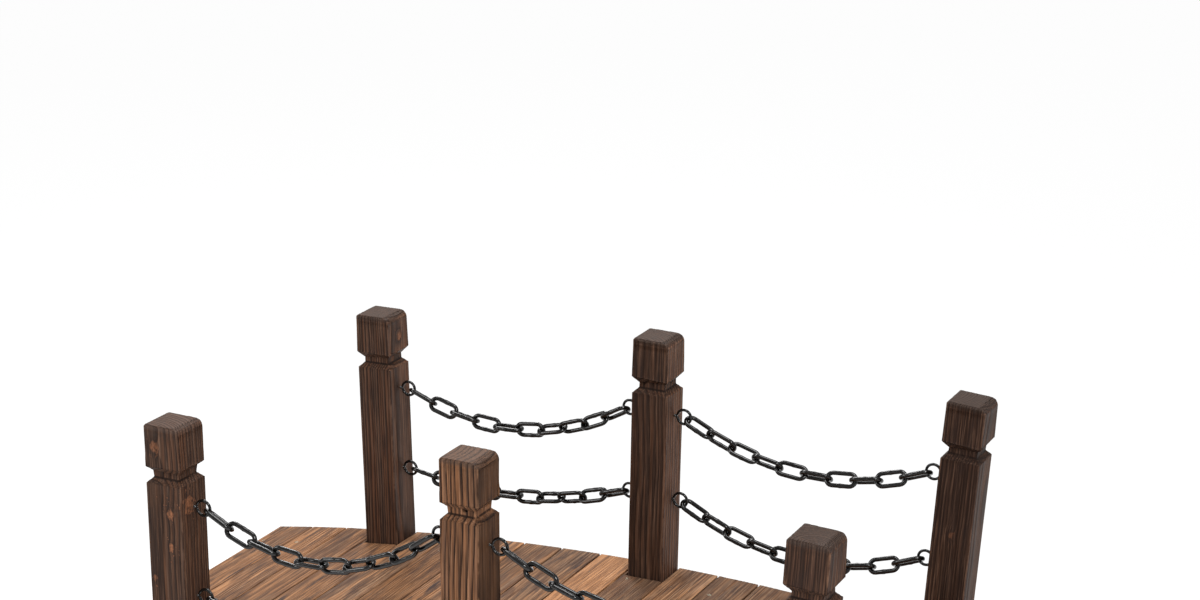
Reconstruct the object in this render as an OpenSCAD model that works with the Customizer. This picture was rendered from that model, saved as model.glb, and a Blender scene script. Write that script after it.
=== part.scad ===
// Arched garden footbridge: two curved stringers, a deck of cross planks, six square posts with a
// cut neck, screw eyes and two hanging chains in each bay of both railings.
// Millimetres, +Z up, X along the walk, +Y the rear railing, origin on the ground under the middle.

/* [Deck] */
// Length of a plank across the walk
deck_width = 672; // [520:4:820]
// Radius of the arch along the walking face
arch_radius = 4475; // [4100:25:6000]
// Height of the walking face above the ground at the ends
end_height = 40; // [34:1:60]
// Thickness of a plank
plank_thickness = 18; // [14:1:20]
// Open joint between two planks
plank_gap = 2.5; // [2:0.5:5]
// Strip of a post's plank beside the notch for the post
horn_width = 4.2; // [4:0.1:8]

/* [Stringers] */
// Thickness of a stringer across the walk
stringer_thickness = 30; // [24:1:40]
// Depth of a stringer at the middle of the arch
stringer_depth = 52; // [44:1:58]

/* [Posts] */
// Side of the square post
post_size = 63; // [50:0.5:75]
// Top of the straight shaft above the walking face
shaft_height = 318; // [280:2:360]
// Inward cut of the neck on each face
neck_inset = 8.5; // [6:0.5:12]
// Height of the straight part of the neck
neck_height = 10; // [6:0.5:14]
// Height of the head above its lower chamfer
head_height = 65.5; // [50:0.5:80]
// Rounding of the head's right top edge, worn rounder than the others
head_round = 12.5; // [8:0.5:16]
// Rounding of the head's other top edges
head_ease = 3; // [2:0.5:6]
// Distance of a post's foot above the underside of its stringer
foot_lift = 8; // [5:1:14]
// Space around a post in the notch of its plank
notch_clearance = 3; // [3:0.25:4]

/* [Lean of the posts] */
// Lean of the left front post along the walk in degrees
left_front_lean = 0.8; // [-4:0.2:1.4]
// Lean of the left rear post along the walk in degrees
left_rear_lean = -0.6; // [-4:0.2:1.4]
// Lean of the middle front post along the walk in degrees
middle_front_lean = 0.8; // [-3:0.2:3]
// Lean of the middle rear post along the walk in degrees
middle_rear_lean = 1.6; // [-3:0.2:3]
// Lean of the right front post along the walk in degrees
right_front_lean = 3; // [0:0.2:6]
// Lean of the right rear post along the walk in degrees
right_rear_lean = 4.4; // [0:0.2:6]

/* [Screw eyes] */
// Height of the upper eyes above the walking face
upper_eye_height = 280; // [260:2:300]
// Height of the lower eyes above the walking face
lower_eye_height = 135; // [115:2:155]
// Distance from the post to the centre of an upper ring
upper_eye_reach = 17; // [16:0.5:20]
// Distance from the post to the centre of a lower ring
lower_eye_reach = 14.5; // [14:0.5:16]
// Radius of the ring at the middle of its wire
eye_radius = 12; // [11:0.25:13]
// Thickness of the ring's wire
eye_wire = 4.6; // [4.2:0.1:5]
// Thickness of the shank
shank_size = 4; // [3:0.1:4]
// Depth of the shank in the post
shank_depth = 24; // [16:1:28]
// Space between the shank and the wall of its hole
shank_clearance = 0.3; // [0.2:0.1:0.6]

/* [Chains] */
// Thickness of the link wire
link_wire = 7.25; // [6:0.25:7.5]
// Outer width of a link
link_width = 28; // [25:0.5:32]
// Space between two links at their joint
link_clearance = 0.3; // [0.25:0.05:0.6]
// Extra length of the chains as a share of the longest span
slack_share = 0.038; // [0.03:0.002:0.06]
// The same for the lower chains of the left bay, which are shorter
tight_share = 0.014; // [0.01:0.002:0.06]
// Roll of the link on a chain's left eye in degrees
left_roll = 28; // [0:1:34]
// Roll of the link on a chain's right eye in degrees
right_roll = 32; // [0:1:34]
// Roll of the link on the left eye of the rear chains in the right bay in degrees
back_left_roll = 17; // [0:1:34]
// Roll of the link on the right eye of the rear chains in the right bay in degrees
back_right_roll = 28; // [0:1:34]

/* [Hidden] */
$fn = 48;
// Planks of the deck, counted along the walk
plank_count = 21;
// Place of the post planks in that count, from the left end
post_planks = [3, 10, 17];
// Links of one chain
link_count = 10;
// Sides of the large circle under the stringers
belly_sides = 1440;
// Facets of a quarter round on the head
round_steps = 6;
// Halvings used to find how a chain hangs
halvings = 26;
// Steepest slope and strongest bend tried for a chain
slope_limit = 2;
bend_limit = 0.6;
// Power by which the twist gathers along a chain
twist_power = 1.5;
// Passage of a cutter beyond the face it cuts
cut_over = plank_thickness / 2;

plank_width = post_size + notch_clearance + horn_width;
plank_step = 2 * atan((plank_width + plank_gap) / 2 / arch_radius);
arch_rise = arch_radius * (1 - cos(plank_count * plank_step / 2));
deck_height = end_height + arch_rise;
arch_centre = deck_height - arch_radius;

seat_radius = arch_radius - plank_thickness;
belly_radius = seat_radius - stringer_depth;
stringer_y = deck_width / 2 - post_size - stringer_thickness;

post_y = deck_width / 2 - post_size / 2;
post_shift = (plank_width - post_size) / 2;
post_drop = plank_thickness + stringer_depth - foot_lift;
neck_bottom = shaft_height + neck_inset;
neck_top = neck_bottom + neck_height;
head_bottom = neck_top + neck_inset;
post_top = head_bottom + head_height;
leans = [[left_front_lean, left_rear_lean],
    [middle_front_lean, middle_rear_lean],
    [right_front_lean, right_rear_lean]];

ring_hold = eye_radius - eye_wire / 2 - link_clearance / 2;
link_radius = (link_width - link_wire) / 2;
upper_row = [upper_eye_height, upper_eye_reach];
lower_row = [lower_eye_height, lower_eye_reach];
long_pitch = link_pitch(longest_span([0, 1], [upper_row, lower_row]), slack_share);
short_pitch = link_pitch(longest_span([0], [lower_row]), tight_share);
// Turn that a chain is short of whole quarter turns, so that both ends roll as set
twist = 90 + left_roll - right_roll;
back_twist = 90 - back_left_roll - back_right_roll;

post_color = "#4b3327";
deck_color = "#8c5c40";
stringer_color = "#5f4030";
metal_color = "#1d1c1b";

// Turn of a plank on the arch
function plank_angle(index) = (index - (plank_count - 1) / 2) * plank_step;

// Point of the arch under a post, as X and Z
function post_place(column) =
    let(angle = plank_angle(post_planks[column]))
    [arch_radius * sin(angle) + post_shift * cos(angle),
     arch_centre + arch_radius * cos(angle) - post_shift * sin(angle)];

// Lean of one post
function post_lean(column, side) = leans[column][side > 0 ? 1 : 0];

// Centre of an eye's ring on one face of a post, as X and Z, for a row's height and reach
function eye_place(column, side, face, row) =
    let(lean = post_lean(column, side), out = face * (post_size / 2 + row[1]))
    post_place(column) + [out * cos(lean) + row[0] * sin(lean), row[0] * cos(lean) - out * sin(lean)];

// Way from one eye of a chain to the other, as X and Z
function chain_span(bay, side, row) = eye_place(bay + 1, side, -1, row) - eye_place(bay, side, 1, row);

// Longest way between two eyes among the chains of given bays and rows
function longest_span(bays, rows) =
    max([for (bay = bays, side = [-1, 1], row = rows) norm(chain_span(bay, side, row))]);

// Distance between two joints of the chains cut alike for a longest span
function link_pitch(span, slack) = (span * (1 + slack) - 2 * ring_hold) / link_count;

// Roll of a link: each turns a quarter on the one before, less a twist that gathers along the chain,
// counted from the right eye in the rear chains of the right bay and from the left eye in all others
function link_roll(bay, side, link) =
    let(last = link_count - 1, back = bay == 1 && side > 0, count = back ? last - link : link)
    let(gathered = (back ? back_twist : twist) * pow(count / last, twist_power))
    back ? 90 * count - gathered - back_right_roll : gathered - 90 * count - left_roll;

// Length of chain that follows the slope of one link, with the hold on a ring at both ends
function link_reach(pitch, link) =
    pitch + (link == 0 ? ring_hold : 0) + (link == link_count - 1 ? ring_hold : 0);

// Rise of one link in degrees: the slope grows evenly from link to link, as in a loose chain
function link_tilt(link, slope, bend) = atan(slope + (link - (link_count - 1) / 2) * bend);

// Level and upright distance covered by the links from one of them to the last
function chain_level(pitch, slope, bend, link = 0) =
    let(reach = link_reach(pitch, link), tilt = link_tilt(link, slope, bend))
    link == link_count ? 0 : reach * cos(tilt) + chain_level(pitch, slope, bend, link + 1);
function chain_upright(pitch, slope, bend, link = 0) =
    let(reach = link_reach(pitch, link), tilt = link_tilt(link, slope, bend))
    link == link_count ? 0 : reach * sin(tilt) + chain_upright(pitch, slope, bend, link + 1);

// Mean slope at which a chain of given bend climbs by a given height
function find_slope(pitch, bend, height, low, high, left) =
    let(middle = (low + high) / 2)
    left == 0 ? middle
    : chain_upright(pitch, middle, bend) < height ? find_slope(pitch, bend, height, middle, high, left - 1)
    : find_slope(pitch, bend, height, low, middle, left - 1);

// Bend at which a chain spans a given level distance and height
function find_bend(pitch, span, low, high, left) =
    let(middle = (low + high) / 2)
    let(slope = find_slope(pitch, middle, span[1], -slope_limit, slope_limit, halvings))
    left == 0 ? middle
    : chain_level(pitch, slope, middle) > span[0] ? find_bend(pitch, span, middle, high, left - 1)
    : find_bend(pitch, span, low, middle, left - 1);

// Rises of the links of a chain over a given span
function chain_tilts(pitch, span) =
    let(bend = find_bend(pitch, span, 0, bend_limit, halvings))
    let(slope = find_slope(pitch, bend, span[1], -slope_limit, slope_limit, halvings))
    [for (link = [0 : link_count - 1]) link_tilt(link, slope, bend)];

// Joint at the start of a link
function link_start(pitch, tilts, link) =
    link == 0 ? ring_hold * [cos(tilts[0]), sin(tilts[0])]
    : link_start(pitch, tilts, link - 1) + pitch * [cos(tilts[link - 1]), sin(tilts[link - 1])];

// Seats of the planks along the top of a stringer
function stringer_top() =
    [for (joint = [0 : plank_count])
        let(angle = (joint - plank_count / 2) * plank_step, radius = seat_radius / cos(plank_step / 2))
        [radius * sin(angle), arch_centre + radius * cos(angle)]];

// Right half of the head's top edge for a given rounding
function head_edge(rounding) =
    [for (step = [0 : round_steps])
        let(angle = 90 * step / round_steps)
        [post_size / 2 - rounding + rounding * cos(angle), post_top - rounding + rounding * sin(angle)]];

// Right half of a post's outline
function post_edge(rounding) = concat(
    [[post_size / 2, -post_drop],
     [post_size / 2, shaft_height],
     [post_size / 2 - neck_inset, neck_bottom],
     [post_size / 2 - neck_inset, neck_top],
     [post_size / 2, head_bottom]],
    head_edge(rounding));

// Whole outline of a post for the roundings at the right and at the left
function post_outline(right_rounding, left_rounding) =
    let(left = post_edge(left_rounding), last = len(left) - 1)
    concat(post_edge(right_rounding), [for (step = [0 : last]) [-left[last - step][0], left[last - step][1]]]);

// Carries a shape to the walking face at a given turn
module on_arch(angle) {
    translate([0, 0, arch_centre])
        rotate([0, angle, 0])
            translate([0, 0, arch_radius])
                children();
}

// Carries a shape to the foot of a post
module at_post(column, side) {
    translate([post_place(column)[0], side * post_y, post_place(column)[1]])
        rotate([0, post_lean(column, side), 0])
            children();
}

module stringer(side) {
    top = stringer_top();
    near = side > 0 ? stringer_y : -stringer_y - stringer_thickness;
    color(stringer_color)
        difference() {
            translate([0, near + stringer_thickness, 0])
                rotate([90, 0, 0])
                    linear_extrude(height = stringer_thickness)
                        polygon(concat([[top[0][0], 0]], top, [[top[plank_count][0], 0]]));
            translate([0, near - cut_over, arch_centre])
                rotate([-90, 0, 0])
                    cylinder(r = belly_radius, h = stringer_thickness + 2 * cut_over, $fn = belly_sides);
        }
}

// Cutter for the seat of a post in one end of its plank
module post_notch(side) {
    depth = post_size + notch_clearance + cut_over;
    start = deck_width / 2 - post_size - notch_clearance;
    translate([plank_width / 2 - post_size - notch_clearance,
               side > 0 ? start : -start - depth,
               -plank_thickness - cut_over])
        cube([post_size + notch_clearance + cut_over, depth, plank_thickness + 2 * cut_over]);
}

module plank(number) {
    index = number - 1;
    color(deck_color)
        on_arch(plank_angle(index))
            difference() {
                translate([-plank_width / 2, -deck_width / 2, -plank_thickness])
                    cube([plank_width, deck_width, plank_thickness]);
                if (len(search(index, post_planks)) > 0) {
                    post_notch(1);
                    post_notch(-1);
                }
            }
}

// Hole for the shank of an eye in one face of a post
module eye_hole(face, height) {
    translate([face * (post_size / 2 - shank_depth), 0, height])
        rotate([0, face * 90, 0])
            cylinder(d = shank_size + 2 * shank_clearance, h = shank_depth + cut_over);
}

// Faces of a post that carry eyes
function eye_faces(column) = column == 0 ? [1] : column == 1 ? [-1, 1] : [-1];

module post(column, side) {
    color(post_color)
        at_post(column, side)
            difference() {
                intersection() {
                    translate([0, post_size / 2, 0])
                        rotate([90, 0, 0])
                            linear_extrude(height = post_size)
                                polygon(post_outline(head_round, head_ease));
                    translate([-post_size / 2, 0, 0])
                        rotate([90, 0, 90])
                            linear_extrude(height = post_size)
                                polygon(post_outline(head_ease, head_ease));
                }
                for (face = eye_faces(column)) {
                    eye_hole(face, upper_eye_height);
                    eye_hole(face, lower_eye_height);
                }
            }
}

// Ring and shank on one face of a post
module eye(face, height, reach) {
    translate([face * (post_size / 2 + reach), 0, height])
        rotate([90, 0, 0])
            rotate_extrude()
                translate([eye_radius, 0])
                    circle(d = eye_wire);
    translate([face * (post_size / 2 - shank_depth), 0, height])
        rotate([0, face * 90, 0])
            cylinder(d = shank_size, h = shank_depth + reach - eye_radius);
}

module eyes(column, side) {
    color(metal_color)
        at_post(column, side)
            for (face = eye_faces(column)) {
                eye(face, upper_eye_height, upper_eye_reach);
                eye(face, lower_eye_height, lower_eye_reach);
            }
}

// Half of a link: its round end and half of both straight sides
module half_link(straight) {
    translate([straight, 0, 0])
        rotate([0, 0, -90])
            rotate_extrude(angle = 180)
                translate([link_radius, 0])
                    circle(d = link_wire);
    for (side = [-1, 1])
        translate([0, side * link_radius, 0])
            rotate([0, 90, 0])
                cylinder(d = link_wire, h = straight);
}

module link(pitch) {
    straight = (pitch + link_clearance - link_width) / 2 + link_wire;
    half_link(straight);
    rotate([0, 0, 180])
        half_link(straight);
}

module chain(bay, side, row, pitch) {
    start = eye_place(bay, side, 1, row);
    tilts = chain_tilts(pitch, chain_span(bay, side, row));
    color(metal_color)
        for (index = [0 : link_count - 1]) {
            joint = start + link_start(pitch, tilts, index);
            translate([joint[0], side * post_y, joint[1]])
                rotate([0, -tilts[index], 0])
                    rotate([link_roll(bay, side, index), 0, 0])
                        translate([pitch / 2, 0, 0])
                            link(pitch);
        }
}

// Two chains of one bay
module upper_chain(bay, side) { chain(bay, side, upper_row, long_pitch); }
module lower_chain(bay, side) { chain(bay, side, lower_row, bay == 0 ? short_pitch : long_pitch); }

module stringer_front() { stringer(-1); }
module stringer_rear() { stringer(1); }
module plank_01() { plank(1); }
module plank_02() { plank(2); }
module plank_03() { plank(3); }
module plank_04() { plank(4); }
module plank_05() { plank(5); }
module plank_06() { plank(6); }
module plank_07() { plank(7); }
module plank_08() { plank(8); }
module plank_09() { plank(9); }
module plank_10() { plank(10); }
module plank_11() { plank(11); }
module plank_12() { plank(12); }
module plank_13() { plank(13); }
module plank_14() { plank(14); }
module plank_15() { plank(15); }
module plank_16() { plank(16); }
module plank_17() { plank(17); }
module plank_18() { plank(18); }
module plank_19() { plank(19); }
module plank_20() { plank(20); }
module plank_21() { plank(21); }
module post_left_front() { post(0, -1); }
module post_middle_front() { post(1, -1); }
module post_right_front() { post(2, -1); }
module post_left_rear() { post(0, 1); }
module post_middle_rear() { post(1, 1); }
module post_right_rear() { post(2, 1); }
module eyes_left_front() { eyes(0, -1); }
module eyes_middle_front() { eyes(1, -1); }
module eyes_right_front() { eyes(2, -1); }
module eyes_left_rear() { eyes(0, 1); }
module eyes_middle_rear() { eyes(1, 1); }
module eyes_right_rear() { eyes(2, 1); }
module chain_upper_left_front() { upper_chain(0, -1); }
module chain_lower_left_front() { lower_chain(0, -1); }
module chain_upper_right_front() { upper_chain(1, -1); }
module chain_lower_right_front() { lower_chain(1, -1); }
module chain_upper_left_rear() { upper_chain(0, 1); }
module chain_lower_left_rear() { lower_chain(0, 1); }
module chain_upper_right_rear() { upper_chain(1, 1); }
module chain_lower_right_rear() { lower_chain(1, 1); }

stringer_front();
stringer_rear();
plank_01();
plank_02();
plank_03();
plank_04();
plank_05();
plank_06();
plank_07();
plank_08();
plank_09();
plank_10();
plank_11();
plank_12();
plank_13();
plank_14();
plank_15();
plank_16();
plank_17();
plank_18();
plank_19();
plank_20();
plank_21();
post_left_front();
post_middle_front();
post_right_front();
post_left_rear();
post_middle_rear();
post_right_rear();
eyes_left_front();
eyes_middle_front();
eyes_right_front();
eyes_left_rear();
eyes_middle_rear();
eyes_right_rear();
chain_upper_left_front();
chain_lower_left_front();
chain_upper_right_front();
chain_lower_right_front();
chain_upper_left_rear();
chain_lower_left_rear();
chain_upper_right_rear();
chain_lower_right_rear();
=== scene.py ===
import math
import random

import bmesh
import bpy
import numpy as np
from mathutils import Matrix, Vector


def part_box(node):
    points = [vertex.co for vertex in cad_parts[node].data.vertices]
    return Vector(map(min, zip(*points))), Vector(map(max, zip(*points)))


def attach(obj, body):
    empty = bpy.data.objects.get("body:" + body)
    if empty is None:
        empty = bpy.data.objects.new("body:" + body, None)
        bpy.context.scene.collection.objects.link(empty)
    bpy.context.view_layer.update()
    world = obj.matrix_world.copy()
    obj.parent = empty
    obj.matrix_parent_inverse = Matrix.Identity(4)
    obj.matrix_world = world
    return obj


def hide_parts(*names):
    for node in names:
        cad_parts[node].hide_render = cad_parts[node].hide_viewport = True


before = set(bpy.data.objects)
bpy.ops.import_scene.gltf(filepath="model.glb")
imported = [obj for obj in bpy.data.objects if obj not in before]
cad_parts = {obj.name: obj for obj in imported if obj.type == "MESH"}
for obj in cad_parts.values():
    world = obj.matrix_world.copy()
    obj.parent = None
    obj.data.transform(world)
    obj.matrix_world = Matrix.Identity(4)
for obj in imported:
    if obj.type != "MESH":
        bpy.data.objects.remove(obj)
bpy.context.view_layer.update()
random.seed(41)

mm = 0.001
bridge = {  # sizes shared by all pieces, in metres
    "deckWidth": 672 * mm,
    "archRadius": 4475 * mm,
    "endHeight": 40 * mm,
    "plankCount": 21,
    "plankWidth": 70.2 * mm,
    "plankPitch": 72.7 * mm,
    "plankThickness": 18 * mm,
    "postPlanks": (3, 10, 17),
    "postSize": 63 * mm,
    "notchClearance": 3 * mm,
    "leans": {"front": (0.8, 0.8, 3.0), "rear": (-0.6, 1.6, 4.4)},  # degrees that the posts stand out of true
}
plankTurn = 2 * math.atan(bridge["plankPitch"] / 2 / bridge["archRadius"])
archCentre = bridge["endHeight"] - bridge["archRadius"] * math.cos(bridge["plankCount"] * plankTurn / 2)
columns = ("left", "middle", "right")
sides = {"front": -1, "rear": 1}


def tint(red, green, blue):  # screen colour to the linear one that shaders take
    return tuple(((c / 255 + 0.055) / 1.055) ** 2.4 if c > 10 else c / 3294.6 for c in (red, green, blue)) + (1.0,)


class Wire:  # a value inside a material; formulas on it add Math nodes
    def __init__(self, tree, socket=None):
        self.tree, self.socket = tree, socket

    def make(self, kind, settings=None, sockets=None, out=0):
        node = self.tree.nodes.new(kind)
        for key, value in (settings or {}).items():
            setattr(node, key, value)
        for key, value in (sockets or {}).items():
            if isinstance(value, Wire):
                self.tree.links.new(value.socket, node.inputs[key])
            else:
                node.inputs[key].default_value = value
        if isinstance(out, tuple):
            return [Wire(self.tree, node.outputs[one]) for one in out]
        return Wire(self.tree, node.outputs[out])

    def sum(self, operation, *values):
        return self.make("ShaderNodeMath", {"operation": operation}, dict(enumerate(values)))

    def __add__(self, other): return self.sum("ADD", self, other)
    def __radd__(self, other): return self.sum("ADD", other, self)
    def __sub__(self, other): return self.sum("SUBTRACT", self, other)
    def __rsub__(self, other): return self.sum("SUBTRACT", other, self)
    def __mul__(self, other): return self.sum("MULTIPLY", self, other)
    def __rmul__(self, other): return self.sum("MULTIPLY", other, self)
    def __truediv__(self, other): return self.sum("DIVIDE", self, other)
    def __neg__(self): return self.sum("MULTIPLY", self, -1.0)

    def blend(self, first, second, way="MIX"):  # this value as the share of the second colour
        return self.make("ShaderNodeMix", {"data_type": "RGBA", "blend_type": way}, {0: self, 6: first, 7: second}, out=2)


# The same formulas work on material values and on lists of points
def sine(value):
    return value.sum("SINE", value) if isinstance(value, Wire) else np.sin(value)


def root(value):
    return value.sum("SQRT", value) if isinstance(value, Wire) else np.sqrt(value)


def fraction(value):
    return value.sum("FRACT", value) if isinstance(value, Wire) else value - np.floor(value)


def power(value):
    return value.sum("EXPONENT", value) if isinstance(value, Wire) else np.exp(value)


def size(value):
    return value.sum("ABSOLUTE", value) if isinstance(value, Wire) else np.abs(value)


def least(first, second):
    return first.sum("MINIMUM", first, second) if isinstance(first, Wire) else np.minimum(first, second)


def ease(value, low, high):
    if isinstance(value, Wire):
        return value.make("ShaderNodeMapRange", {"interpolation_type": "SMOOTHSTEP"},
                          {"Value": value, "From Min": low, "From Max": high})
    share = np.clip((value - low) / (high - low), 0, 1)
    return share * share * (3 - 2 * share)


def knotNear(u, v, l, knot):  # squared distance from a knot in its own sizes, and its face's mask
    across, depth = (u, v) if knot["face"] == "v" else (v, u)
    a = (across - knot["at"][0]) / knot["size"]
    b = (l - knot["at"][1]) / (knot["size"] * 1.35)
    return a * a + b * b, ease(depth * knot["side"], -2 * mm, 6 * mm)


def growth(u, v, l, look):  # share of the way through a growth ring
    sway = 0.0
    for amount, along, across, shift in look["sway"]:
        sway = amount * sine(l * along + (u + v) * across + shift) + sway
    du = u - look["pith"][0] + sway
    dv = v - look["pith"][1] + sway * 0.6
    reach = root(du * du + dv * dv) - l * look["slope"]
    for knot in look["knots"]:
        near, mask = knotNear(u, v, l, knot)
        reach = reach + power(near * -0.32) * mask * (knot["push"] * look["ring"])
    turns = reach / look["ring"]
    turns = turns + 0.25 * sine(turns * 0.73 + look["shift"]) + 0.13 * sine(turns * 1.9 + look["shift"] * 2)
    return fraction(turns)


def ridge(share):  # height over a ring: it climbs to the hard late wood and drops behind it
    return ease(share, 0.15, 0.86) * (1 - ease(share, 0.90, 0.99))


def makeWood(name, look, place, order):
    material = bpy.data.materials.new(name)
    material.use_nodes = True
    tree = material.node_tree
    shader = tree.nodes["Principled BSDF"]
    pen = Wire(tree)
    back = place.inverted()
    spot = pen.make("ShaderNodeTexCoord", out="Object")
    local = pen.make("ShaderNodeMapping", None, {"Vector": spot, "Location": back.to_translation(),
                                                 "Rotation": back.to_euler()})
    xyz = pen.make("ShaderNodeSeparateXYZ", None, {"Vector": local}, out=(0, 1, 2))
    u, v, l = (xyz[axis] for axis in order)

    def fibre(across, along, detail, shift):  # noise drawn out along the grain
        stretch = [across, across, across]
        stretch[order[2]] = along
        drawn = pen.make("ShaderNodeMapping", None, {"Vector": local, "Scale": stretch,
                                                     "Location": (shift, shift * 1.7, shift * 0.6)})
        return pen.make("ShaderNodeTexNoise", None, {"Vector": drawn, "Scale": 1.0, "Detail": detail,
                                                     "Roughness": 0.6}, out="Fac")

    late = ridge(growth(u, v, l, look))
    hair = fibre(620, 16, 3.0, look["seed"])
    fine = fibre(500, 14, 2.0, look["seed"] + 3)
    streak = fibre(150, 3.0, 4.0, look["seed"] + 7)
    smudge = fibre(80, 10, 5.0, look["seed"] + 13)
    colour = ease(streak, 0.36, 0.62).blend(look["early"], look["warm"])
    patch = fibre(20, 7, 3.0, look["seed"] + 37)
    colour = (ease(patch, 0.44, 0.64) * look["shade"]).blend(colour, look["char"])
    pale = ease(fibre(340, 8, 3.0, look["seed"] + 23), 0.52, 0.66) * (1 - late) * look["paleShare"]
    colour = pale.blend(colour, look["pale"])
    dark = late * late if "crisp" in look else late  # thin dark lines, or wide ones
    colour = (dark * look["contrast"] * ease(hair, 0.15, 0.55)).blend(colour, look["late"])
    colour = ((1 - ease(fine, 0.34, 0.52)) * look["fine"]).blend(colour, look["late"])
    colour = (ease(fine, 0.54, 0.70) * look["fine"] * 0.7).blend(colour, look["pale"])
    line = ease(fibre(520, 5.0, 2.0, look["seed"] + 29), 0.55, 0.62) * look["lines"]
    colour = line.blend(colour, look["late"])
    burn = ease(smudge, look["burnFrom"], look["burnFrom"] + 0.12) * ease(streak * 0.4 + hair * 0.6, 0.36, 0.54)
    colour = (burn * look["burn"]).blend(colour, look["char"])
    if "right" in look:  # the right face darker or paler than the front: paler is painted light, darker is the middle front post's darker wood
        side = ease(u, look["half"][0] - 4 * mm, look["half"][0] - 1 * mm)
        colour = side.blend(colour, (look["right"],) * 3 + (1.0,), "MULTIPLY")
    if "top" in look:  # greyed end grain
        cut = ease(l, look["topFrom"], look["topFrom"] + 9 * mm) * (1 - 0.7 * late) * (0.35 + 0.6 * hair)
        colour = cut.blend(colour, look["top"])
    for low, high, dark in look["shadedCreases"]:  # painted shade in the groove at the neck's foot, broken up by noise
        creaseShade = ease(l, low - 1 * mm, low) * (1 - ease(l, high, high + 1 * mm))
        colour = (creaseShade * dark * ease(smudge, 0.3, 0.5)).blend(colour, look["late"])
    for knot in look["knots"]:
        near, mask = knotNear(u, v, l, knot)
        mottle = fibre(300, 240, 3.0, look["seed"] + 31)
        near = near * ease(fibre(170, 130, 2.0, look["seed"] + 43), 0.2, 0.8) * 2.4
        core = (1 - ease(near, 0.1, 1.5)) * mask
        rim = ease(near, 0.4, 1.2) * (1 - ease(near, 1.2, 4.0)) * mask
        colour = (rim * 0.4).blend(colour, look["char"])
        colour = (core * knot["show"] * ease(mottle * 0.6 + fine * 0.4, 0.34, 0.58)).blend(colour, look["knot"])
    edge = least(ease(size(u), look["half"][0] - 4 * mm, look["half"][0]),
                 ease(size(v), look["half"][1] - 4 * mm, look["half"][1]))
    worn = edge * ease(fibre(60, 30, 3.0, look["seed"] + 41), 0.46, 0.62) * look["wear"]
    colour = worn.blend(colour, look["pale"])
    height = late * 0.8 + hair * 0.35 + streak * 0.2
    bump = pen.make("ShaderNodeBump", None, {"Strength": look["bump"], "Distance": 0.0012, "Height": height},
                    out="Normal")
    rough = look["rough"] + 0.16 * (hair - 0.5) - 0.08 * late
    tree.links.new(colour.socket, shader.inputs["Base Color"])
    tree.links.new(rough.socket, shader.inputs["Roughness"])
    tree.links.new(bump.socket, shader.inputs["Normal"])
    shader.inputs["Specular IOR Level"].default_value = 0.1
    return material


def makeMetal(name, look):
    material = bpy.data.materials.new(name)
    material.use_nodes = True
    tree = material.node_tree
    shader = tree.nodes["Principled BSDF"]
    pen = Wire(tree)
    spot = pen.make("ShaderNodeTexCoord", out="Object")

    def grit(scale, detail):
        return pen.make("ShaderNodeTexNoise", None, {"Vector": spot, "Scale": scale, "Detail": detail}, out="Fac")

    cloud = grit(60.0, 4.0)
    fine = grit(900.0, 3.0)
    scuff = ease(grit(260.0, 5.0), 0.60, 0.72) * look["scuff"]
    colour = ease(cloud, 0.35, 0.7).blend(look["dark"], look["light"])
    colour = scuff.blend(colour, look["bare"])
    rough = look["rough"] + 0.22 * (cloud - 0.5) + 0.12 * (fine - 0.5)
    bump = pen.make("ShaderNodeBump", None, {"Strength": look["bump"], "Distance": 0.0004,
                                             "Height": fine * 0.5 + cloud}, out="Normal")
    tree.links.new(colour.socket, shader.inputs["Base Color"])
    tree.links.new(rough.socket, shader.inputs["Roughness"])
    tree.links.new(bump.socket, shader.inputs["Normal"])
    shader.inputs["Metallic"].default_value = look["metallic"]
    shader.inputs["Specular IOR Level"].default_value = look["shine"]
    return material


def addPiece(name, bm, material, slot, *nodes):
    mesh = bpy.data.meshes.new(name)
    bm.to_mesh(mesh)
    bm.free()
    mesh.shade_smooth()
    mesh.materials.append(material)
    piece = bpy.data.objects.new(name, mesh)
    bpy.context.scene.collection.objects.link(piece)
    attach(piece, "root")
    if nodes:
        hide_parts(*nodes)
    return piece


def cutGrid(bm, axis, start, stop, step):  # even cuts across a block, so that its faces can take relief
    count = max(1, round((stop - start) / step))
    normal = Vector([float(axis == k) for k in range(3)])
    for cut in range(1, count):
        bmesh.ops.bisect_plane(bm, geom=bm.verts[:] + bm.edges[:] + bm.faces[:], dist=1e-6,
                               plane_co=normal * (start + (stop - start) * cut / count), plane_no=normal)


def carveGrain(bm, look, order):  # brush the soft wood back between the rings
    bm.normal_update()
    points = np.array([vert.co for vert in bm.verts])
    u, v, l = (points[:, axis] for axis in order)
    low = 1 - ridge(growth(u, v, l, look))
    dent = 0.5 + 0.5 * np.sin(l * 37 + look["seed"]) * np.sin((u - v) * 90 + l * 11 + look["seed"] * 2)
    depth = look["relief"] * (0.75 * low + 0.25 * dent)
    for vert, amount in zip(bm.verts, depth):
        vert.co -= vert.normal * float(amount)


def sharpEdges(bm, degrees):
    return [e for e in bm.edges if len(e.link_faces) == 2 and e.calc_face_angle() > math.radians(degrees)]


def easeEdges(bm, edges, offset, segments):
    bmesh.ops.bevel(bm, geom=edges, offset=offset, offset_type="OFFSET", segments=segments, profile=0.5,
                    affect="EDGES", clamp_overlap=True, material=-1)


def archPlace(angle):
    return (Matrix.Translation((0, 0, archCentre)) @ Matrix.Rotation(angle, 4, "Y")
            @ Matrix.Translation((0, 0, bridge["archRadius"])))


# Camera at the photograph's viewing angle
view = {"at": (1.6302, -3.1067, 1.7118), "yaw": -26.772, "pitch": 16.749, "roll": -0.456, "lens": 73.77}


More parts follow.
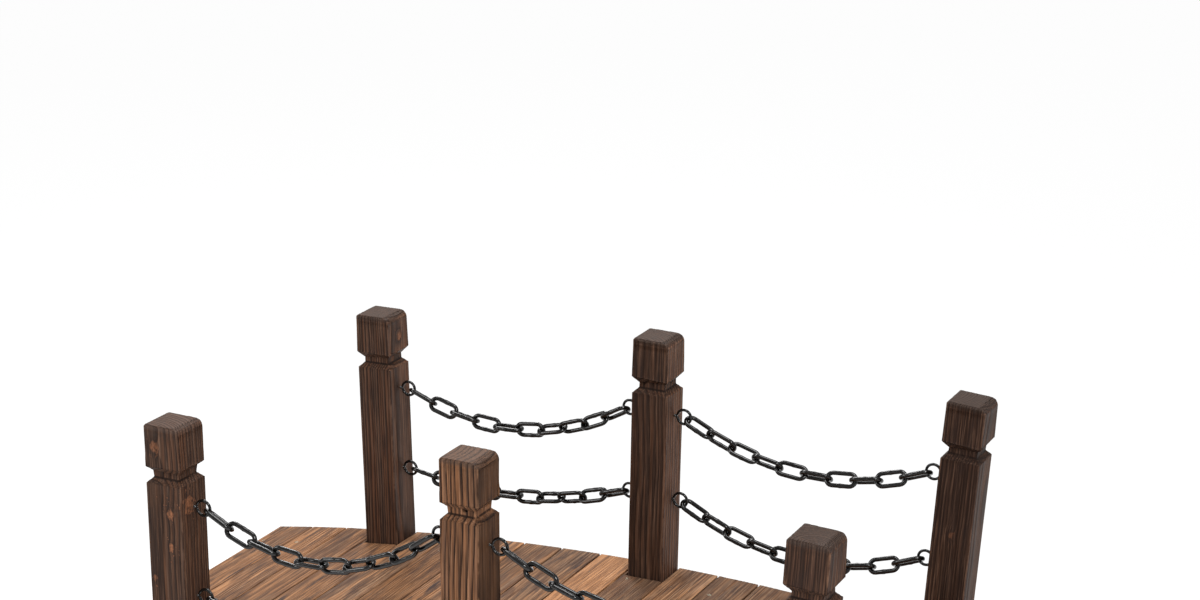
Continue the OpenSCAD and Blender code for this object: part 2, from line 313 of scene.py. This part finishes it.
def setCamera():
    yaw, pitch, roll = (math.radians(view[key]) for key in ("yaw", "pitch", "roll"))
    ahead = Vector((math.sin(yaw) * math.cos(pitch), math.cos(yaw) * math.cos(pitch), -math.sin(pitch)))
    right = Vector((math.cos(yaw), -math.sin(yaw), 0))
    up = right.cross(ahead)
    right, up = (right * math.cos(roll) + up * math.sin(roll), up * math.cos(roll) - right * math.sin(roll))
    lens = bpy.data.cameras.new("camera")
    lens.lens, lens.sensor_width, lens.clip_end = view["lens"], 36, 60
    camera = bpy.data.objects.new("camera", lens)
    turn = Matrix((right, up, -ahead)).transposed().to_4x4()
    camera.matrix_world = Matrix.Translation(view["at"]) @ turn
    bpy.context.scene.collection.objects.link(camera)
    bpy.context.scene.camera = camera


setCamera()
print("camera set")


deckLook = {  # stained deck boards, growth rings seen on their flat
    "early": tint(160, 124, 96), "warm": tint(180, 128, 88), "late": tint(70, 48, 37), "char": tint(66, 52, 48),
    "pale": tint(212, 172, 136), "knot": tint(104, 68, 48), "contrast": 0.55, "burnFrom": 0.51,
    "paleShare": 0.4, "wear": 0.6, "bump": 0.6, "rough": 0.66, "relief": 0.4 * mm, "step": (1.9, 14, 4.5),
    "ease": 1.5 * mm, "lines": 0.8, "fine": 0.5, "shade": 0.5, "shadedCreases": (),
    "plain": {9: 1.06},  # boards that took the stain evenly, with their tone
}


def scaled(colour, factor):
    return tuple(c * factor for c in colour[:3]) + (1.0,)


def deckBoard(index):
    width, half = bridge["plankWidth"], bridge["deckWidth"] / 2
    thick = bridge["plankThickness"]
    notchX = width / 2 - bridge["postSize"] - bridge["notchClearance"]
    notchY = half - bridge["postSize"] - bridge["notchClearance"]
    outline = [(-width / 2, -half), (width / 2, -half), (width / 2, half), (-width / 2, half)]
    if index in bridge["postPlanks"]:
        outline = [(-width / 2, -half), (notchX, -half), (notchX, -notchY), (width / 2, -notchY),
                   (width / 2, notchY), (notchX, notchY), (notchX, half), (-width / 2, half)]
    tone = random.uniform(0.6, 1.06) * (1.0 - 0.012 * index)
    look = dict(deckLook)
    plain = index in look["plain"]
    if random.random() < 0.25 or plain:  # a board that took more of the orange stain
        look["early"], look["paleShare"] = look["warm"], 0.2
    tone = look["plain"].get(index, tone)
    for key in ("early", "warm", "pale"):
        look[key] = scaled(look[key], tone)
    look.update(
        seed=random.uniform(0, 60), shift=random.uniform(0, 6),
        pith=(random.uniform(-0.05, 0.05), -random.uniform(0.02, 0.08)), ring=random.uniform(2.8, 4.4) * mm,
        slope=random.uniform(-0.02, 0.02), burn=random.choice((0.4, 0.7, 1.0)), half=(width / 2, thick / 2 + 0.2),
        sway=[(random.uniform(1, 3) * mm, random.uniform(5, 9), 3, random.uniform(0, 6)),
              (random.uniform(0.4, 1.2) * mm, random.uniform(15, 24), 8, random.uniform(0, 6))],
        knots=[{"face": "v", "side": 1, "at": (random.uniform(-0.022, 0.022), random.uniform(-0.3, 0.3)),
                "size": random.uniform(3.5, 6.5) * mm, "push": random.uniform(1.2, 2.2), "show": 0.7}
               for one in range(random.choice((0, 1, 1, 2)))])
    if plain:
        look.update(burn=0.2, shade=0.15, contrast=0.35, lines=0.5)
    bm = bmesh.new()
    base = bm.faces.new([bm.verts.new((x, y, -thick)) for x, y in outline])
    raised = bmesh.ops.extrude_face_region(bm, geom=[base])
    bmesh.ops.translate(bm, vec=(0, 0, thick), verts=[g for g in raised["geom"] if isinstance(g, bmesh.types.BMVert)])
    bmesh.ops.recalc_face_normals(bm, faces=bm.faces)
    easeEdges(bm, bm.edges[:], look["ease"], 2)
    for axis, span in enumerate(((-width / 2, width / 2), (-half, half), (-thick, 0))):
        cutGrid(bm, axis, *span, look["step"][axis] * mm)
    carveGrain(bm, look, (0, 2, 1))
    place = archPlace((index - (bridge["plankCount"] - 1) / 2) * plankTurn)
    bmesh.ops.transform(bm, matrix=place, verts=bm.verts)
    name = f"{index + 1:02d}"
    addPiece("deck_board_" + name, bm, makeWood("deck wood " + name, look, place, (0, 2, 1)), "deck_wood",
             "plank_" + name)


for index in range(bridge["plankCount"]):
    deckBoard(index)
print("deck boards made")


postShape = {
    "drop": 62 * mm, "shaft": 318 * mm, "inset": 8.5 * mm, "neck": 10 * mm, "head": 65.5 * mm,
    "worn": 12.5 * mm, "crisp": 3 * mm, "arc": 6, "ease": 1.2 * mm, "step": (1.5, 1.5, 9),
}
postLook = {  # charred and brushed posts
    "early": tint(86, 63, 50), "warm": tint(92, 60, 42), "late": tint(30, 19, 14), "char": tint(40, 30, 27),
    "pale": tint(126, 96, 78), "knot": tint(146, 95, 66), "contrast": 0.85, "burn": 0.6, "burnFrom": 0.52,
    "paleShare": 0.35, "wear": 0.45, "bump": 0.75, "rough": 0.66, "relief": 0.5 * mm, "slope": 0.004,
    # the dark band round the neck's foot is painted shade
    "lines": 0.62, "fine": 0.42, "shade": 0.25, "shadedCreases": ((325.5 * mm, 327.5 * mm, 0.9),),
    "top": tint(76, 65, 59), "topFrom": 400 * mm,
    "half": (bridge["postSize"] / 2, bridge["postSize"] / 2), "knots": [],
}
postOwn = {  # what differs from post to post; 'right' above 1 is painted light on the right face, below 1 darker wood
    "left_front": {"pith": (-0.025, -0.080), "ring": 5.6 * mm, "right": 1.1, "top": tint(98, 80, 71),
                   "contrast": 0.85, "early": tint(82, 61, 49), "warm": tint(88, 58, 41), "knots": [
        {"face": "v", "side": -1, "at": (10 * mm, 274 * mm), "size": 6.2 * mm, "push": 0.4, "show": 0.95},
        {"face": "v", "side": -1, "at": (9 * mm, 221 * mm), "size": 4.6 * mm, "push": 0.3, "show": 0.85},
        {"face": "v", "side": -1, "at": (-14 * mm, 377 * mm), "size": 8 * mm, "push": 0.5, "show": 0.5},
        {"face": "u", "side": 1, "at": (-13 * mm, 288 * mm), "size": 11 * mm, "push": 0.4, "show": 0.7},
        {"face": "v", "side": -1, "at": (-23 * mm, 166 * mm), "size": 4.5 * mm, "push": 0.4, "show": 0.5}]},
    "middle_front": {"pith": (-0.114, 0.0), "ring": 8.8 * mm, "contrast": 1.0, "paleShare": 0.6, "crisp": True,
                     "early": tint(122, 87, 65), "warm": tint(126, 85, 57), "late": tint(32, 19, 12),
                     "burn": 0.35, "pale": tint(164, 122, 92), "right": 0.42, "fine": 0.4, "lines": 0.55,
                     "sway": [(2.6 * mm, 9, 4, 1.0), (1.6 * mm, 27, 9, 2.5)]},
    "right_front": {"pith": (0.006, -0.028), "ring": 4.2 * mm, "wear": 0.9, "pale": tint(132, 98, 76),
                    "right": 1.25, "early": tint(76, 55, 45), "warm": tint(80, 54, 40)},
    "left_rear": {"pith": (-0.095, 0.010), "ring": 4.7 * mm, "right": 1.25, "knots": [
        {"face": "u", "side": 1, "at": (4 * mm, 372 * mm), "size": 6 * mm, "push": 1.2, "show": 0.5}]},
    "middle_rear": {"pith": (-0.030, -0.060), "ring": 6.0 * mm, "right": 1.9,
                    "early": tint(78, 57, 45), "warm": tint(82, 54, 38)},
    "right_rear": {"pith": (-0.120, 0.020), "ring": 4.1 * mm, "right": 1.45, "early": tint(60, 43, 35),
                   "warm": tint(64, 43, 32), "knots": [
        {"face": "v", "side": -1, "at": (-1 * mm, 196 * mm), "size": 5 * mm, "push": 1.0, "show": 0.25}]},
}


def postPlace(column, sideName):
    angle = (bridge["postPlanks"][column] - (bridge["plankCount"] - 1) / 2) * plankTurn
    foot = archPlace(angle) @ Vector(((bridge["plankWidth"] - bridge["postSize"]) / 2, 0, 0))
    lean = math.radians(bridge["leans"][sideName][column])
    across = sides[sideName] * (bridge["deckWidth"] - bridge["postSize"]) / 2
    return Matrix.Translation((foot.x, across, foot.z)) @ Matrix.Rotation(lean, 4, "Y")


def postBlock():
    half, shape = bridge["postSize"] / 2, postShape
    neckBottom = shape["shaft"] + shape["inset"]
    neckTop = neckBottom + shape["neck"]
    headBottom = neckTop + shape["inset"]
    top = headBottom + shape["head"]
    narrow = half - shape["inset"]

    def pulled(level, radius):  # half width of a face where the top edge rounds over
        rise = max(0, level - (top - radius))
        return half - radius + math.sqrt(max(0, radius * radius - rise * rise))

    levels = [(shape["shaft"], half, half, half), (neckBottom, narrow, narrow, narrow),
              (neckTop, narrow, narrow, narrow), (headBottom, half, half, half)]
    turns = [math.sin(step / shape["arc"] * math.pi / 2) for step in range(shape["arc"] + 1)]
    heights = {round(top - radius * (1 - turn), 7) for radius in (shape["worn"], shape["crisp"]) for turn in turns}
    for level in sorted(heights):
        crisp = pulled(level, shape["crisp"])
        levels.append((level, pulled(level, shape["worn"]), crisp, crisp))
    bm = bmesh.new()
    bmesh.ops.create_grid(bm, x_segments=1, y_segments=1, size=half)
    bmesh.ops.translate(bm, vec=(0, 0, -shape["drop"]), verts=bm.verts)
    face = bm.faces[:][0]
    for level, right, left, deep in levels:
        raised = bmesh.ops.extrude_face_region(bm, geom=[face])["geom"]
        face = [g for g in raised if isinstance(g, bmesh.types.BMFace)][0]
        for vert in face.verts:
            vert.co = (right if vert.co.x > 0 else -left, deep if vert.co.y > 0 else -deep, level)
    bmesh.ops.recalc_face_normals(bm, faces=bm.faces)
    easeEdges(bm, sharpEdges(bm, 28), shape["ease"], 2)
    for axis, span in enumerate(((-half, half), (-half, half), (-shape["drop"], top))):
        cutGrid(bm, axis, *span, shape["step"][axis] * mm)
    return bm


def railPost(column, sideName):
    name = columns[column] + "_" + sideName
    look = dict(postLook)
    look.update(seed=random.uniform(0, 60), shift=random.uniform(0, 6),
                sway=[(random.uniform(1.5, 3) * mm, random.uniform(6, 11), 4, random.uniform(0, 6)),
                      (random.uniform(0.5, 1.1) * mm, random.uniform(18, 30), 9, random.uniform(0, 6))])
    look.update(postOwn[name])
    bm = postBlock()
    carveGrain(bm, look, (0, 1, 2))
    place = postPlace(column, sideName)
    bmesh.ops.transform(bm, matrix=place, verts=bm.verts)
    addPiece("rail_post_" + name, bm, makeWood("post wood " + name.replace("_", " "), look, place, (0, 1, 2)),
             "post_wood", "post_" + name)


for sideName in sides:
    for column in range(3):
        railPost(column, sideName)
print("posts made")


stringerLook = dict(deckLook)
stringerLook.update(
    early=tint(120, 86, 66), warm=tint(126, 84, 60), late=tint(72, 47, 34), pale=tint(150, 116, 92), seed=5.0,
    shift=1.0, pith=(0.05, 0.02), ring=6 * mm, slope=0.01, half=(15 * mm, 0.5), knots=[], burn=0.5,
    sway=[(3 * mm, 5, 2, 1.0), (1 * mm, 15, 5, 3.0)])


def dressStringer(name):
    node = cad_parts[name]
    low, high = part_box(name)
    place = Matrix.Translation((0, (low[1] + high[1]) / 2, 0))
    node.data.materials.clear()
    node.data.materials.append(makeWood("stringer wood " + name.split("_")[1], stringerLook, place, (1, 2, 0)))
    weld = node.modifiers.new("weld", "WELD")
    weld.merge_threshold = 0.00002
    soft = node.modifiers.new("soften", "BEVEL")
    soft.width, soft.segments, soft.limit_method, soft.angle_limit = 1.5 * mm, 2, "ANGLE", math.radians(30)


for name in ("stringer_front", "stringer_rear"):
    dressStringer(name)
print("stringers dressed")


blackCoat = makeMetal("black chain coat", {
    "dark": tint(8, 7, 7), "light": tint(18, 16, 15), "bare": tint(84, 78, 74), "scuff": 0.4, "rough": 0.15,
    "bump": 0.12, "metallic": 0.0, "shine": 0.45})
zincCoat = makeMetal("zinc screw coat", {
    "dark": tint(120, 112, 96), "light": tint(176, 166, 144), "bare": tint(206, 200, 188), "scuff": 0.6,
    "rough": 0.38, "bump": 0.2, "metallic": 0.9, "shine": 0.5})

chainShape = {"wire": 7.25 * mm, "width": 28 * mm, "round": 14, "bow": 10, "straight": 8,
              "weld": 0.13, "weldReach": 4 * mm}


def islands(mesh):  # corner clouds of the separate solids of a CAD node
    bm = bmesh.new()
    bm.from_mesh(mesh)
    bmesh.ops.remove_doubles(bm, verts=bm.verts, dist=1e-6)
    seen, groups = set(), []
    for start in bm.verts:
        if start in seen:
            continue
        seen.add(start)
        stack, group = [start], []
        while stack:
            vert = stack.pop()
            group.append(tuple(vert.co))
            for edge in vert.link_edges:
                other = edge.other_vert(vert)
                if other not in seen:
                    seen.add(other)
                    stack.append(other)
        groups.append(np.array(group))
    bm.free()
    return groups


def loopOf(geometry):
    return [g for g in geometry if isinstance(g, (bmesh.types.BMVert, bmesh.types.BMEdge))]


def wireRing(bm, radius, place, count):
    made = bmesh.ops.create_circle(bm, cap_ends=False, segments=count, radius=radius, matrix=place)["verts"]
    return made + list({edge for vert in made for edge in vert.link_edges})


def drawWire(bm, loop, vector, steps):  # extrude a ring of wire straight on
    for step in range(steps):
        made = bmesh.ops.extrude_edge_only(bm, edges=[g for g in loop if isinstance(g, bmesh.types.BMEdge)])
        loop = loopOf(made["geom"])
        loop = [g for g in loop if isinstance(g, bmesh.types.BMVert)] + \
               [g for g in loop if isinstance(g, bmesh.types.BMEdge) and all(v in loop for v in g.verts)]
        bmesh.ops.translate(bm, vec=vector / steps, verts=[g for g in loop if isinstance(g, bmesh.types.BMVert)])
    return loop


def bendWire(bm, loop, centre, axis, angle, steps):
    made = bmesh.ops.spin(bm, geom=loop, cent=centre, axis=axis, angle=angle, steps=steps, use_merge=False,
                          use_duplicate=False)
    return loopOf(made["geom_last"])


def chainLink(length, rough):
    shape = chainShape
    radius, arm = (shape["width"] - shape["wire"]) / 2, (length - shape["width"]) / 2
    bm = bmesh.new()
    start = Matrix.Translation((arm, -radius, 0)) @ Matrix.Rotation(math.pi / 2, 4, "Y")
    loop = wireRing(bm, shape["wire"] / 2, start, shape["round"])
    loop = bendWire(bm, loop, (arm, 0, 0), (0, 0, 1), math.pi, shape["bow"])
    loop = drawWire(bm, loop, Vector((-2 * arm, 0, 0)), shape["straight"])
    loop = bendWire(bm, loop, (-arm, 0, 0), (0, 0, 1), math.pi, shape["bow"])
    drawWire(bm, loop, Vector((2 * arm, 0, 0)), shape["straight"])
    bmesh.ops.remove_doubles(bm, verts=bm.verts, dist=0.02 * mm)
    bmesh.ops.recalc_face_normals(bm, faces=bm.faces)
    middle = Vector((rough.uniform(-1.5, 1.5) * mm, radius, 0))
    for vert in bm.verts:  # the weld that closes the link
        if vert.co.y > radius - shape["wire"] and abs(vert.co.x - middle.x) < shape["weldReach"]:
            swell = shape["weld"] * math.cos((vert.co.x - middle.x) / shape["weldReach"] * math.pi / 2)
            axis = Vector((vert.co.x, radius, 0))
            vert.co = axis + (vert.co - axis) * (1 + swell * rough.uniform(0.7, 1.2))
    return bm


def hangChain(node):
    rough = random.Random(node)
    whole = bpy.data.meshes.new("links")
    joined = bmesh.new()
    for cloud in islands(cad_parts[node].data):
        centre = cloud.mean(0)
        spread = np.linalg.svd(cloud - centre, full_matrices=False)[2]
        along = Vector(spread[0]) * (1 if spread[0][0] > 0 else -1)
        across = Vector(spread[1]) * rough.choice((-1, 1))
        flat = along.cross(across)
        reach = (cloud - centre) @ np.array(along)
        middle = Vector(centre) + along * float((reach.max() + reach.min()) / 2)
        link = chainLink(float(reach.max() - reach.min()), rough)
        turn = Matrix((along, across, flat)).transposed().to_4x4()
        bmesh.ops.transform(link, matrix=Matrix.Translation(middle) @ turn, verts=link.verts)
        link.to_mesh(whole)
        joined.from_mesh(whole)
        link.free()
    bpy.data.meshes.remove(whole)
    addPiece(node.replace("chain", "hung_chain"), joined, blackCoat, "chain_metal", node)


for node in sorted(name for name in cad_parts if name.startswith("chain_")):
    hangChain(node)
print("chains hung")


eyeShape = {"levels": ((280 * mm, 17 * mm), (135 * mm, 14.5 * mm)), "radius": 12 * mm, "wire": 4.6 * mm,
            "shank": 4 * mm, "depth": 12 * mm, "gap": 14.0, "round": 12, "turn": 36}


def screwEye(bm, face, height, reach):
    shape, half = eyeShape, bridge["postSize"] / 2
    centre = Vector((face * (half + reach), 0, height))
    first = math.radians(shape["gap"])
    start = (Matrix.Translation(centre) @ Matrix.Rotation(first, 4, "Y")
             @ Matrix.Translation((-face * shape["radius"], 0, 0)))
    loop = wireRing(bm, shape["wire"] / 2, start, shape["round"])
    bmesh.ops.contextual_create(bm, geom=[g for g in loop if isinstance(g, bmesh.types.BMEdge)])
    loop = bendWire(bm, loop, centre, (0, 1, 0), 2 * math.pi - 1.4 * first, shape["turn"])
    bmesh.ops.contextual_create(bm, geom=[g for g in loop if isinstance(g, bmesh.types.BMEdge)])
    shank = reach - shape["radius"] + shape["depth"]
    bmesh.ops.create_cone(bm, cap_ends=True, segments=shape["round"], radius1=shape["shank"] / 2,
                          radius2=shape["shank"] / 2, depth=shank,
                          matrix=Matrix.Translation((face * (half - shape["depth"] + shank / 2), 0, height))
                          @ Matrix.Rotation(math.pi / 2, 4, "Y"))


def postEyes(column, sideName):
    bm = bmesh.new()
    for face in ((1,), (-1, 1), (-1,))[column]:
        for height, reach in eyeShape["levels"]:
            screwEye(bm, face, height, reach)
    bmesh.ops.recalc_face_normals(bm, faces=bm.faces)
    bmesh.ops.transform(bm, matrix=postPlace(column, sideName), verts=bm.verts)
    name = columns[column] + "_" + sideName
    addPiece("screw_eyes_" + name, bm, blackCoat, "chain_metal", "eyes_" + name)


for sideName in sides:
    for column in range(3):
        postEyes(column, sideName)
print("screw eyes made")


screwShape = {"head": 3.6 * mm, "deep": 2.2 * mm, "sunk": 0.5 * mm, "slot": 0.55 * mm, "arm": 2.0 * mm,
              "inset": 77 * mm, "spread": 0.27}


def deckScrews():
    shape = screwShape
    joined = bmesh.new()
    head = bmesh.new()
    bmesh.ops.create_cone(head, cap_ends=True, segments=14, radius1=shape["head"] * 0.5, radius2=shape["head"],
                          depth=shape["deep"])
    for axis in (0, 1):
        for cut in (-shape["arm"], -shape["slot"], shape["slot"], shape["arm"]):
            normal = Vector((float(axis == 0), float(axis == 1), 0))
            bmesh.ops.bisect_plane(head, geom=head.verts[:] + head.edges[:] + head.faces[:], dist=1e-7,
                                   plane_co=normal * cut, plane_no=normal)
    cross = [f for f in head.faces if f.normal.z > 0.9
             and max(abs(f.calc_center_median().x), abs(f.calc_center_median().y)) < shape["arm"]
             and min(abs(f.calc_center_median().x), abs(f.calc_center_median().y)) < shape["slot"]]
    sunk = bmesh.ops.extrude_face_region(head, geom=cross)["geom"]
    bmesh.ops.translate(head, vec=(0, 0, -1.1 * mm), verts=[g for g in sunk if isinstance(g, bmesh.types.BMVert)])
    bmesh.ops.delete(head, geom=[f for f in cross if f.is_valid], context="FACES_ONLY")
    part = bpy.data.meshes.new("screw")
    for index in range(bridge["plankCount"]):
        board = archPlace((index - (bridge["plankCount"] - 1) / 2) * plankTurn)
        for side in (-1, 1):
            for shift in (-1, 1):
                one = head.copy()
                x = shift * bridge["plankWidth"] * shape["spread"] + random.uniform(-3, 3) * mm
                y = side * (bridge["deckWidth"] / 2 - shape["inset"] + random.uniform(-3, 3) * mm)
                seat = (Matrix.Translation((x, y, -shape["deep"] / 2 - shape["sunk"] * random.uniform(0.4, 1)))
                        @ Matrix.Rotation(random.uniform(0, 3), 4, "Z"))
                bmesh.ops.transform(one, matrix=board @ seat, verts=one.verts)
                one.to_mesh(part)
                joined.from_mesh(part)
                one.free()
    head.free()
    bpy.data.meshes.remove(part)
    addPiece("deck_screws", joined, zincCoat, "chain_metal")


deckScrews()
print("deck screws set")


studio = {
    "floor": tint(246, 246, 246), "world": 0.5, "foot": (0.72, 0.30),
    "white": ((0.15, 0, 0), (0.65, 0, 0.25), (0.16, 0.3, 1.5)),  # glow under the bridge, beside it and far off
    "lamps": (("key", (2.6, -2.6, 3.4), 1.2, 110), ("fill", (-3.2, -2.2, 2.4), 1.4, 55),
              ("top", (0.2, 0.4, 3.6), 1.3, 60), ("rim", (-1.8, 2.4, 2.8), 1.0, 60)),
}


def setStudio():
    bpy.ops.mesh.primitive_plane_add(size=60, location=(0, 0, 0))
    floor = bpy.context.object
    floor.name = "floor"
    material = bpy.data.materials.new("pale floor")
    material.use_nodes = True
    tree = material.node_tree
    shader = tree.nodes["Principled BSDF"]
    shader.inputs["Base Color"].default_value = studio["floor"]
    shader.inputs["Roughness"].default_value = 0.9
    pen = Wire(tree)
    seen = pen.make("ShaderNodeLightPath", out="Is Camera Ray")
    glow = pen.make("ShaderNodeEmission", None, {"Color": (1, 1, 1, 1), "Strength": 1.0})
    spot = pen.make("ShaderNodeTexCoord", out="Object")
    x, y, z = pen.make("ShaderNodeSeparateXYZ", None, {"Vector": spot}, out=(0, 1, 2))
    dx = x.sum("MAXIMUM", size(x) - studio["foot"][0], 0.0)
    dy = y.sum("MAXIMUM", size(y) - studio["foot"][1], 0.0)
    away = root(dx * dx + dy * dy)  # the floor right under the bridge keeps its full shadow
    under, beside, far = studio["white"]
    white = under[0] + beside[0] * ease(away, *beside[1:]) + far[0] * ease(away, *far[1:])
    mix = pen.make("ShaderNodeMixShader", None, {0: seen * white, 1: Wire(tree, shader.outputs[0]), 2: glow})
    tree.links.new(mix.socket, tree.nodes["Material Output"].inputs["Surface"])
    floor.data.materials.append(material)
    world = bpy.data.worlds.new("studio")
    bpy.context.scene.world = world
    world.use_nodes = True
    sky = Wire(world.node_tree)
    rays = sky.make("ShaderNodeLightPath", out=("Is Camera Ray", "Is Glossy Ray", "Is Transmission Ray"))
    direct = rays[0].sum("MAXIMUM", rays[0], rays[2])
    strength = studio["world"] + (1 - studio["world"]) * direct
    backdrop = world.node_tree.nodes["Background"]
    backdrop.inputs["Color"].default_value = (1, 1, 1, 1)
    world.node_tree.links.new(strength.socket, backdrop.inputs["Strength"])
    for name, place, width, watts in studio["lamps"]:
        lamp = bpy.data.lights.new(name, "AREA")
        lamp.shape, lamp.size, lamp.energy = "SQUARE", width, watts
        holder = bpy.data.objects.new(name, lamp)
        holder.location = place
        holder.rotation_euler = (Vector((0, 0, 0.25)) - Vector(place)).to_track_quat("-Z", "Y").to_euler()
        bpy.context.scene.collection.objects.link(holder)
    bpy.context.scene.view_settings.view_transform = "Standard"


setStudio()
print("studio lit")
